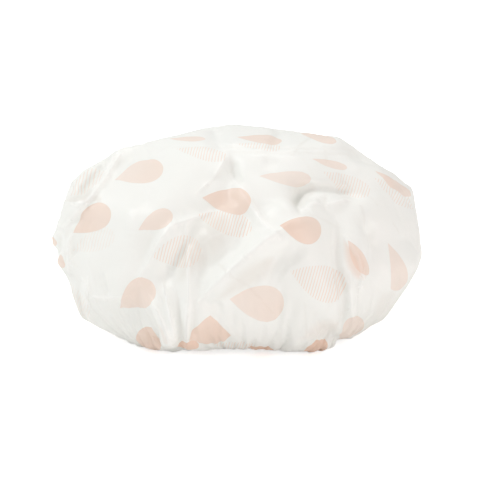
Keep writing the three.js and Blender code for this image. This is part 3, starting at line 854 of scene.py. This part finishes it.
def hidden_drops(sheet):
    """The rest of the print, plain and hatched drops by turns, wherever the picture doesn't show it."""
    normals = point_normals(sheet.points, sheet.triangles)
    rng = np.random.default_rng(8)
    reach = int(sheet.length / REPEAT_ROW) + 2
    for i in range(-reach, reach + 1):
        for j in range(-reach, reach + 1):
            base = np.array([(i + 0.5 * (j % 2)) * REPEAT_COLUMN, j * REPEAT_ROW]) + rng.uniform(-3, 3, 2) * MM
            turn = radians(rng.uniform(-8, 8))
            for kind, shift in enumerate((np.zeros(2), np.array([0.3, -0.34]) * REPEAT_ROW)):
                near = base + shift
                inside = np.hypot(*near) <= sheet.length * 0.985
                drop = hidden_drop(sheet, normals, near, turn) if inside else None
                if drop is None:
                    continue
                local = np.abs(drop.frame(sheet.flat)[0] - (0.5, 0))
                member = (local < (0.55, 1.05)).all(1) & (np.hypot(*(sheet.flat - near).T) < 0.05)
                if not any(sheet.is_seen(sheet.points[k]) for k in np.flatnonzero(member)[::9]):
                    yield kind, drop


def paint(film, sheet, name, drops):
    """Gives each triangle the frame of the drop nearest to it."""
    triangles, flat = sheet.triangles, sheet.flat
    centres = flat[triangles].mean(1)
    best, which = np.full(len(centres), 4.0), np.full(len(centres), -1)
    for index, drop in enumerate(drops):
        near = np.flatnonzero(np.hypot(*(centres - drop.middle).T) < 0.07)
        local, _ = drop.frame(centres[near], False)
        score = ((local[:, 0] - 0.58) / 0.55) ** 2 + (local[:, 1] / 1.1) ** 2
        better = score < best[near]
        best[near[better]], which[near[better]] = score[better], index
    local, lines = np.full((len(triangles), 3, 2), -1.0), np.ones((len(triangles), 3, 2))
    for index, drop in enumerate(drops):
        mine = np.flatnonzero(which == index)
        if len(mine):
            used, back = np.unique(triangles[mine], return_inverse=True)
            back = back.reshape(-1, 3)
            corner, line = drop.frame(flat[used])
            local[mine] = corner[back]
            lines[mine, :, 0] = (line if name == "hatched" else drop.room(flat[used]))[back]
            lines[mine, :, 1] = drop.strength
    store(film, name + "_print", local)
    store(film, name + "_lines", lines)


def sharp_creases(sheet):
    """The film's sharp creases as lines on the flat film: start, end and height, all in metres."""
    lines = []
    for height, left, right, run in CREASES:
        if min(left, right) > SHARP_LIMIT:
            continue
        spots = [np.array(run[0], float)]
        for end in np.array(run[1:], float):
            count = max(1, int(np.hypot(*(end - spots[-1])) / SHARP_STEP))
            spots += list(np.linspace(spots[-1], end, count + 1)[1:])
        places = [sheet.place_at(*spot) for spot in spots]
        for start, end in zip(places, places[1:]):
            if start is not None and end is not None and np.hypot(*(end - start)) < SHARP_REACH:
                lines.append((start, end, SHARP_HEIGHT if height > 0 else -GROOVE_HEIGHT))
    rng = np.random.default_rng(21)
    for _ in range(CHANCE_CREASES):
        away, turn, way = sheet.length * sqrt(rng.uniform(0.01, 0.8)), rng.uniform(-pi, pi), rng.uniform(0, pi)
        middle = away * np.array([cos(turn), sin(turn)])
        half = rng.uniform(0.2, 1) ** 2 * CHANCE_REACH * np.array([cos(way), sin(way)])
        lines.append((middle - half, middle + half, rng.choice([-1, 1]) * rng.uniform(0.3, 1) * CHANCE_HEIGHT))
    return lines


def paint_creases(film, sheet):
    """Gives each triangle its distance from the crease nearest to it, in widths, and the crease's height there."""
    corners = sheet.flat[sheet.triangles]
    centres = corners.mean(1)
    best = np.full(len(centres), 1.0)
    side = np.zeros(corners.shape)
    side[:, :, 0] = 2
    reach = SHARP_WIDTH + 2 * MM
    for start, end, height in sharp_creases(sheet):
        run = end - start
        size = np.hypot(*run)
        along, over = run / size, np.array([-run[1], run[0]]) / size
        place, gap = (centres - start) @ along, np.abs((centres - start) @ over)
        near = np.flatnonzero((place > -reach) & (place < size + reach) & (gap < reach))
        nearer = near[gap[near] / reach < best[near]]
        best[nearer] = gap[nearer] / reach
        side[nearer, :, 0] = (corners[nearer] - start) @ over / SHARP_WIDTH
        side[nearer, :, 1] = height / MM
    store(film, "crease_lines", side)


def make_mesh(name, points, triangles):
    mesh = bpy.data.meshes.new(name)
    mesh.from_pydata(np.asarray(points).tolist(), [], np.asarray(triangles).tolist(), shade_flat=False)
    mesh.validate()
    piece = bpy.data.objects.new(name, mesh)
    bpy.context.collection.objects.link(piece)
    return piece


class Nodes:
    """Short hands for building the nodes of a material or of the world."""

    def __init__(self, block):
        self.block = block
        block.use_nodes = True
        block.node_tree.nodes.clear()

    def add(self, kind, inputs=None, **settings):
        """Adds a node. An input is another node's output, a colour or a number."""
        node = self.block.node_tree.nodes.new("ShaderNode" + kind)
        for key, value in settings.items():
            setattr(node, key, value)
        for key, value in (inputs or {}).items():
            if isinstance(value, bpy.types.NodeSocket):
                self.block.node_tree.links.new(value, node.inputs[key])
            else:
                node.inputs[key].default_value = (*value, 1) if isinstance(value, tuple) else value
        return node

    def math(self, operation, *values):
        return self.add("Math", dict(enumerate(values)), operation=operation).outputs[0]

    def times(self, total, *others):
        for other in others:
            total = self.math("MULTIPLY", total, other)
        return total

    def ramp(self, value, low, high, start=0.0, end=1.0):
        inputs = {"Value": value, "From Min": low, "From Max": high, "To Min": start, "To Max": end}
        return self.add("MapRange", inputs, interpolation_type="SMOOTHSTEP").outputs[0]

    def blend(self, share, first, second):
        return self.add("Mix", {0: share, 6: first, 7: second}, data_type="RGBA").outputs[2]

    def place(self):
        return self.add("TexCoord").outputs["Object"]

    def parts(self, vector):
        return self.add("SeparateXYZ", {0: vector}).outputs

    def uv(self, name):
        return self.parts(self.add("UVMap", uv_map=name).outputs[0])[:2]

    def noise(self, scale, detail=3.0, rough=0.5):
        inputs = {"Vector": self.place(), "Scale": scale, "Detail": detail, "Roughness": rough}
        return self.add("TexNoise", inputs).outputs["Fac"]

    def bump(self, height, strength, distance, **under):
        inputs = {"Height": height, "Strength": strength, "Distance": distance, **under}
        return self.add("Bump", inputs).outputs[0]

    def principled(self, colour, rough, normal, **more):
        inputs = {"Base Color": colour, "Roughness": rough, "Normal": normal, **more}
        return self.add("BsdfPrincipled", inputs).outputs[0]

    def mixed(self, share, first, second):
        return self.add("MixShader", {0: share, 1: first, 2: second}).outputs[0]

    def camera_sees(self, for_others, for_camera):
        """What the camera sees directly, apart from what lights the cap."""
        return self.mixed(self.add("LightPath").outputs["Is Camera Ray"], for_others, for_camera)

    def finished(self, shader, kind="OutputMaterial"):
        self.add(kind, {"Surface": shader})
        return self.block


DROP_FULLNESS = 2.598  # brings a drop's half width to 1 where it is widest


def drop_mask(n, name, soft):
    """1 inside a drop's outline: a point at one end, and round at the other."""
    along, over = n.uv(name)
    left = n.math("MAXIMUM", n.math("SUBTRACT", 1.0, along), 0.0)
    half = n.times(along, n.math("SQRT", left), DROP_FULLNESS)
    return n.ramp(n.math("SUBTRACT", half, n.math("ABSOLUTE", over)), 0.1 * soft, soft)


def thread_material(name):
    n = Nodes(bpy.data.materials.new(name + "_thread"))
    wave = n.add("TexWave", {"Vector": n.place(), "Scale": 900.0}, wave_type="BANDS", bands_direction="DIAGONAL")
    twist, fuzz = wave.outputs["Fac"], n.noise(2500.0, 2.0)
    colour = n.blend(twist, (0.80, 0.79, 0.76), (0.93, 0.925, 0.90))
    normal = n.bump(n.math("ADD", twist, fuzz), 0.4, 0.1 * MM)
    return n.finished(n.principled(colour, n.ramp(fuzz, 0.2, 0.8, 0.6, 0.85), normal, **{"Sheen Weight": 0.2}))


def elastic_material():
    """Woven elastic: fine ribs across the band, and long cords along it."""
    n = Nodes(bpy.data.materials.new("woven_elastic"))
    x, y, z = n.parts(n.place())
    ribs = n.math("SINE", n.times(n.math("ARCTAN2", y, x), 900.0))
    cords = n.math("SINE", n.times(z, 2 * pi / (0.75 * MM)))
    tone = n.ramp(n.math("ADD", n.times(ribs, cords), n.times(n.noise(900.0), 0.6)), -0.8, 1.2)
    colour = n.blend(tone, (0.74, 0.73, 0.70), (0.94, 0.935, 0.92))
    return n.finished(n.principled(colour, 0.85, n.bump(tone, 0.6, 0.3 * MM), **{"Sheen Weight": 0.15}))


def film_material():
    n = Nodes(bpy.data.materials.new("printed_film"))
    # the print, what shows blurred from behind, and patches of painted shade
    room, depth = n.uv("solid_lines")
    solid = n.times(drop_mask(n, "solid_print", 0.05), depth, n.ramp(room, -0.4, 0.4))
    # patches of painted shade, and print that shows through from behind where the strength is over 1
    room, depth = n.uv("shade_and_ghost_lines")
    behind = n.ramp(depth, 1.0, 1.01)
    shade_and_ghost = n.times(drop_mask(n, "shade_and_ghost_print", 0.8), n.math("SUBTRACT", depth, behind), n.ramp(room, -0.4, 0.4))
    lines, thin = n.uv("hatched_lines")
    wave = n.math("ABSOLUTE", n.math("SUBTRACT", n.math("FRACT", lines), 0.5))
    hatched = n.times(drop_mask(n, "hatched_print", 0.05), n.ramp(wave, 0.08, 0.24, 0.85, 0.0), thin)
    ink = n.times(n.math("MAXIMUM", solid, hatched), n.ramp(n.noise(14.0, 2.0), 0.3, 0.7, 0.5, 0.66))
    film = n.blend(n.ramp(n.noise(30.0, 4.0), 0.3, 0.7), (0.916, 0.935, 0.911), (0.936, 0.955, 0.935))
    # the patches of painted shade turn the film grey, and the print from behind tints it pink
    film = n.blend(shade_and_ghost, film, n.blend(behind, (0.84, 0.83, 0.79), (0.84, 0.72, 0.64)))
    # a sharp ridge gets a pale painted highlight, and a sharp groove gets painted shade
    side, height = n.uv("crease_lines")
    edge = n.math("MAXIMUM", n.math("SUBTRACT", 1.0, n.math("ABSOLUTE", side)), 0.0)
    crest = n.ramp(edge, 0.3, 0.85)
    film = n.blend(n.times(crest, n.ramp(height, 0.05, 0.4)), film, (0.985, 1.0, 0.98))
    film = n.blend(n.times(crest, n.ramp(height, 0.0, -0.4)), film, (0.80, 0.79, 0.75))
    colour = n.blend(ink, film, (0.865, 0.635, 0.51))
    # the light through the film carries the same painted shade and print from behind
    through = n.blend(shade_and_ghost, (0.95, 0.965, 0.94), n.blend(behind, (0.86, 0.85, 0.81), (0.92, 0.75, 0.65)))
    through = n.blend(ink, through, (0.90, 0.655, 0.52))
    sharp = n.bump(n.times(edge, edge, height), 1.0, MM)
    wrinkles = n.math("ADD", n.noise(90.0, 4.0, 0.55), n.times(n.noise(420.0, 2.0), 0.25))
    normal = n.bump(wrinkles, 0.25, 1.5 * MM, Normal=sharp)
    back = n.add("BsdfTranslucent", {"Color": through, "Normal": normal}).outputs[0]
    # less light comes through where the film lies in close pleats near its hem, and where it is doubled at the top
    level = n.parts(n.place())[2]
    clear = n.math("ADD", n.ramp(level, 3 * MM, 28 * MM, 0.28, 0.36), n.ramp(level, 132 * MM, 152 * MM, 0, -0.05))
    clear = n.math("ADD", clear, n.ramp(level, 1 * MM, 9 * MM, -0.12, 0))
    return n.finished(n.mixed(clear, n.principled(colour, 0.4, normal), back))


def make_film():
    points, flat, triangles, length = add_hem(*crumple_film())
    points, flat, triangles = subdivided(points, flat, triangles)
    normals = point_normals(points, triangles)
    points = fit_outline(points, *LAST_ROWS)
    outer = 1 - smooth_step(np.hypot(*flat.T), *(share * length for share in LAST_EDGE))
    points = points + normals * (AGAIN_HEIGHT * crease_offset(points, normals, AGAIN_WIDTH) * outer)[:, None] + CENTRE
    film = make_mesh("film", points, triangles)
    sheet = Sheet(points, flat, triangles, length)
    # the third kind holds the patches of painted shade and the print that shows blurred through the film
    kinds = [
        [drop for place in places if (drop := drop_in_picture(sheet, *place))]
        for places in (SOLID_DROPS, HATCHED_DROPS, SHADE_AND_GHOST_DROPS)
    ]
    for kind, drop in hidden_drops(sheet):
        kinds[kind].append(drop)
    for name, drops in zip(("solid", "hatched", "shade_and_ghost"), kinds):
        paint(film, sheet, name, drops)
    paint_creases(film, sheet)
    film.data.materials.append(film_material())
    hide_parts("film_crown", "film_hem")
    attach(film, "root")


FLOOR_REACH, FLOOR_TONE, FLOOR_GLOW = 3, 0.98, 0.6
WORLD_LIGHT = 0.71
LIGHTS_AIM = Vector((0, 0, 0.06))


def make_floor():
    corners = [(x * FLOOR_REACH, y * FLOOR_REACH, 0) for x, y in ((-1, -1), (1, -1), (1, 1), (-1, 1))]
    floor = make_mesh("floor", corners, [(0, 1, 2), (0, 2, 3)])
    n = Nodes(bpy.data.materials.new("floor"))
    plain = n.add("BsdfDiffuse", {"Color": (FLOOR_TONE,) * 3}).outputs[0]
    glow = n.add("Emission", {"Strength": FLOOR_GLOW}).outputs[0]
    both = n.add("AddShader", {0: plain, 1: glow}).outputs[0]
    floor.data.materials.append(n.finished(n.camera_sees(plain, both)))


def stand(thing, place, way):
    """Stands a camera or a light at a place, looking the given way."""
    thing.location = place
    thing.rotation_mode = "QUATERNION"
    thing.rotation_quaternion = way.to_track_quat("-Z", "Y")
    bpy.context.collection.objects.link(thing)


def make_light(name, place, size, power, colour=(1, 1, 1)):
    data = bpy.data.lights.new(name, "AREA")
    data.shape, data.size, data.energy, data.color = "DISK", size, power, colour
    stand(bpy.data.objects.new(name, data), place, LIGHTS_AIM - Vector(place))


def make_lights():
    make_light("key", (-1.3, -0.1, 1.5), 0.7, 14)
    make_light("fill", (1.2, -1.4, 0.35), 1.0, 9.2, (1, 0.83, 0.81))
    make_light("top", (0.1, 0.8, 1.8), 1.0, 7)
    world = bpy.data.worlds.new("world")
    n = Nodes(world)
    sky = [n.add("Background", {"Color": (1, 1, 1), "Strength": light}).outputs[0] for light in (WORLD_LIGHT, 1.0)]
    n.finished(n.camera_sees(*sky), "OutputWorld")
    bpy.context.scene.world = world


bpy.context.scene.view_settings.view_transform = "Standard"
make_camera()
make_film()
make_stitches("needle_stitches", "needle_thread", 1)
make_stitches("bobbin_stitches", "bobbin_thread", -1)
bpy.data.objects["elastic_band"].material_slots[0].material = elastic_material()
make_floor()
make_lights()
